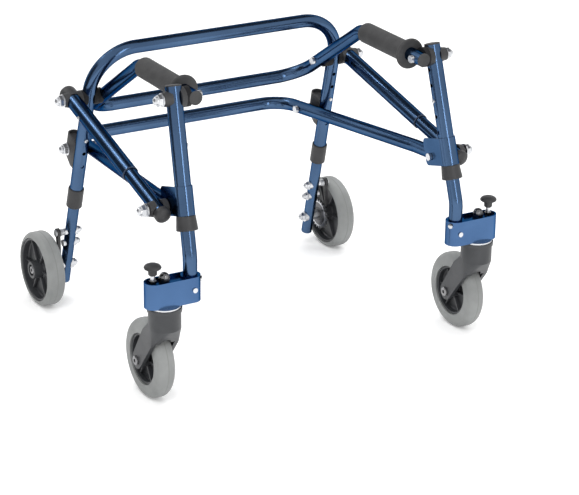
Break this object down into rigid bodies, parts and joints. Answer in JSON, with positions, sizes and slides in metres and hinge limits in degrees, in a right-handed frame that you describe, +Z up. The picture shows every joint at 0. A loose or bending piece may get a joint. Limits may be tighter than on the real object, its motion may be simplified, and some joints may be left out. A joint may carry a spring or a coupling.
{
  "type": "posterior walker",
  "caption": "Folding posterior walker: a blue tube frame that stands behind its user, with ratchet rear wheels, swivel casters, hand grips and legs of adjustable height.",
  "frame": {"origin": "on the floor, at the middle of the bounding box", "axes": "+Z up, the user walks towards -Y (the open side), +X is on the right as seen from the open front; left and right in node names are as seen from there too"},
  "size_m": [0.636, 0.5479, 0.4961],
  "materials": {
    "blue_tube": "blue anodised, satin",
    "black_plastic": "moulded matte",
    "grip_rubber": "moulded matte",
    "steel": "zinc plated",
    "grey_rubber": "smooth non-marking",
    "dark_plastic": "glass-filled, satin"
  },
  "bodies": {
    "rear_frame": {"rear_frame": "blue_tube", "leg_collars": "black_plastic", "pivot_blocks": "black_plastic", "leg_saddles": "black_plastic", "frame_bolts": "steel"},
    "handlebar": {"handlebar": "blue_tube", "hand_grips": "grip_rubber", "handlebar_saddles": "black_plastic", "handlebar_bolts": "steel"},
    "lower_bar": {"lower_bar": "blue_tube"},
    "left_rear_snap": {"left_rear_button": "steel"},
    "left_front_leg": {"left_front_leg": "blue_tube", "left_brace_bracket": "blue_tube", "left_front_leg_caps": "black_plastic", "left_brace_bolt": "steel"},
    "left_front_snap": {"left_front_button": "steel"},
    "left_lower_front_leg": {"left_lower_front_leg": "blue_tube", "left_caster_bracket": "blue_tube", "left_caster_hardware": "steel"},
    "left_swivel_lock": {"left_swivel_lock": "black_plastic"},
    "left_caster_fork": {"left_caster_fork": "dark_plastic", "left_caster_axle": "steel"},
    "left_caster_wheel": {"left_caster_tyre": "grey_rubber", "left_caster_hub": "dark_plastic"},
    "left_brace": {"left_brace_tube": "blue_tube", "left_brace_caps": "black_plastic"},
    "left_brace_snap": {"left_brace_button": "steel"},
    "left_brace_slider": {"left_brace_slider": "blue_tube", "left_brace_foot": "black_plastic"},
    "left_lower_rear_leg": {"left_lower_rear_leg": "blue_tube", "left_rear_axle": "steel"},
    "left_rear_wheel": {"left_rear_tyre": "grey_rubber", "left_rear_hub": "dark_plastic", "left_ratchet": "steel"},
    "left_pawl": {"left_pawl": "black_plastic"},
    "right_rear_snap": {"right_rear_button": "steel"},
    "right_front_leg": {"right_front_leg": "blue_tube", "right_brace_bracket": "blue_tube", "right_front_leg_caps": "black_plastic", "right_brace_bolt": "steel"},
    "right_front_snap": {"right_front_button": "steel"},
    "right_lower_front_leg": {"right_lower_front_leg": "blue_tube", "right_caster_bracket": "blue_tube", "right_caster_hardware": "steel"},
    "right_swivel_lock": {"right_swivel_lock": "black_plastic"},
    "right_caster_fork": {"right_caster_fork": "dark_plastic", "right_caster_axle": "steel"},
    "right_caster_wheel": {"right_caster_tyre": "grey_rubber", "right_caster_hub": "dark_plastic"},
    "right_brace": {"right_brace_tube": "blue_tube", "right_brace_caps": "black_plastic"},
    "right_brace_snap": {"right_brace_button": "steel"},
    "right_brace_slider": {"right_brace_slider": "blue_tube", "right_brace_foot": "black_plastic"},
    "right_lower_rear_leg": {"right_lower_rear_leg": "blue_tube", "right_rear_axle": "steel"},
    "right_rear_wheel": {"right_rear_tyre": "grey_rubber", "right_rear_hub": "dark_plastic", "right_ratchet": "steel"},
    "right_pawl": {"right_pawl": "black_plastic"}
  },
  "joints": [
    {"name": "frame_fold", "type": "hinge", "parent": "rear_frame", "child": "handlebar", "pos_m": [0, 0.12447, 0.38408], "axis": [1, 0, 0], "range_deg": [0, 50]},
    {"name": "lower_bar_fold", "type": "hinge", "parent": "rear_frame", "child": "lower_bar", "pos_m": [0, 0.1834, 0.279], "axis": [1, 0, 0], "range_deg": [0, 43]},
    {"name": "left_front_leg_fold", "type": "hinge", "parent": "handlebar", "child": "left_front_leg", "pos_m": [-0.232, -0.1806, 0.471], "axis": [1, 0, 0], "range_deg": [-35.5, 0]},
    {"name": "left_brace_fold", "type": "hinge", "parent": "rear_frame", "child": "left_brace", "pos_m": [-0.2594, 0.12447, 0.38408], "axis": [1, 0, 0], "range_deg": [0, 43]},
    {"name": "left_brace_slide", "type": "slide", "parent": "left_brace", "child": "left_brace_slider", "axis": [-0.0289, -0.9709, -0.2376], "range_m": [0, 0.0885]},
    {"name": "left_rear_height", "type": "slide", "parent": "rear_frame", "child": "left_lower_rear_leg", "axis": [-0.0253, 0.2588, -0.9656], "range_m": [-0.0254, 0.0508]},
    {"name": "left_front_height", "type": "slide", "parent": "left_front_leg", "child": "left_lower_front_leg", "axis": [-0.0386, -0.2756, -0.9605], "range_m": [-0.0254, 0.0508]},
    {"name": "left_caster_swivel", "type": "hinge", "parent": "left_lower_front_leg", "child": "left_caster_fork", "pos_m": [-0.285, -0.2469, 0.171], "axis": [0, 0, 1], "continuous": true},
    {"name": "left_caster_spin", "type": "hinge", "parent": "left_caster_fork", "child": "left_caster_wheel", "pos_m": [-0.285, -0.1969, 0.0635], "axis": [1, 0, 0], "continuous": true},
    {"name": "left_swivel_lock_press", "type": "slide", "parent": "left_lower_front_leg", "child": "left_swivel_lock", "axis": [0, 0, -1], "range_m": [0, 0.008]},
    {"name": "left_rear_spin", "type": "hinge", "parent": "left_lower_rear_leg", "child": "left_rear_wheel", "pos_m": [-0.283, 0.2104, 0.0635], "axis": [1, 0, 0], "continuous": true},
    {"name": "left_pawl_swing", "type": "hinge", "parent": "left_lower_rear_leg", "child": "left_pawl", "pos_m": [-0.23728, 0.1928, 0.12916], "axis": [1, 0, 0], "range_deg": [0, 13]},
    {"name": "left_rear_snap_press", "type": "slide", "parent": "rear_frame", "child": "left_rear_snap", "axis": [0.0068, 0.9659, 0.2587], "range_m": [0, 0.0025], "stiffness_N_per_m": 400, "springref_m": -0.001},
    {"name": "left_front_snap_press", "type": "slide", "parent": "left_front_leg", "child": "left_front_snap", "axis": [-0.9992, 0, 0.0401], "range_m": [0, 0.0025], "stiffness_N_per_m": 400, "springref_m": -0.001},
    {"name": "left_brace_snap_press", "type": "slide", "parent": "left_brace", "child": "left_brace_snap", "axis": [1, 0, 0], "range_m": [0, 0.0025], "stiffness_N_per_m": 400, "springref_m": -0.001},
    {"name": "right_front_leg_fold", "type": "hinge", "parent": "handlebar", "child": "right_front_leg", "pos_m": [0.232, -0.1806, 0.471], "axis": [1, 0, 0], "range_deg": [-35.5, 0]},
    {"name": "right_brace_fold", "type": "hinge", "parent": "rear_frame", "child": "right_brace", "pos_m": [0.2594, 0.12447, 0.38408], "axis": [1, 0, 0], "range_deg": [0, 43]},
    {"name": "right_brace_slide", "type": "slide", "parent": "right_brace", "child": "right_brace_slider", "axis": [0.0289, -0.9709, -0.2376], "range_m": [0, 0.0885]},
    {"name": "right_rear_height", "type": "slide", "parent": "rear_frame", "child": "right_lower_rear_leg", "axis": [0.0253, 0.2588, -0.9656], "range_m": [-0.0254, 0.0508]},
    {"name": "right_front_height", "type": "slide", "parent": "right_front_leg", "child": "right_lower_front_leg", "axis": [0.0386, -0.2756, -0.9605], "range_m": [-0.0254, 0.0508]},
    {"name": "right_caster_swivel", "type": "hinge", "parent": "right_lower_front_leg", "child": "right_caster_fork", "pos_m": [0.285, -0.2469, 0.171], "axis": [0, 0, 1], "continuous": true},
    {"name": "right_caster_spin", "type": "hinge", "parent": "right_caster_fork", "child": "right_caster_wheel", "pos_m": [0.285, -0.1969, 0.0635], "axis": [1, 0, 0], "continuous": true},
    {"name": "right_swivel_lock_press", "type": "slide", "parent": "right_lower_front_leg", "child": "right_swivel_lock", "axis": [0, 0, -1], "range_m": [0, 0.008]},
    {"name": "right_rear_spin", "type": "hinge", "parent": "right_lower_rear_leg", "child": "right_rear_wheel", "pos_m": [0.283, 0.2104, 0.0635], "axis": [1, 0, 0], "continuous": true},
    {"name": "right_pawl_swing", "type": "hinge", "parent": "right_lower_rear_leg", "child": "right_pawl", "pos_m": [0.23728, 0.1928, 0.12916], "axis": [1, 0, 0], "range_deg": [0, 13]},
    {"name": "right_rear_snap_press", "type": "slide", "parent": "rear_frame", "child": "right_rear_snap", "axis": [-0.0068, 0.9659, 0.2587], "range_m": [0, 0.0025], "stiffness_N_per_m": 400, "springref_m": -0.001},
    {"name": "right_front_snap_press", "type": "slide", "parent": "right_front_leg", "child": "right_front_snap", "axis": [0.9992, 0, 0.0401], "range_m": [0, 0.0025], "stiffness_N_per_m": 400, "springref_m": -0.001},
    {"name": "right_brace_snap_press", "type": "slide", "parent": "right_brace", "child": "right_brace_snap", "axis": [-1, 0, 0], "range_m": [0, 0.0025], "stiffness_N_per_m": 400, "springref_m": -0.001}
  ],
  "couplings": [
    {"joint": "lower_bar_fold", "follows": "frame_fold", "ratio": 0.8495},
    {"joint": "left_front_leg_fold", "follows": "frame_fold", "ratio": -0.7013},
    {"joint": "left_brace_fold", "follows": "frame_fold", "ratio": 0.8448},
    {"joint": "left_brace_slide", "follows": "frame_fold", "m_per_rad": 0.10038},
    {"joint": "right_front_leg_fold", "follows": "frame_fold", "ratio": -0.7013},
    {"joint": "right_brace_fold", "follows": "frame_fold", "ratio": 0.8448},
    {"joint": "right_brace_slide", "follows": "frame_fold", "m_per_rad": 0.10038}
  ]
}
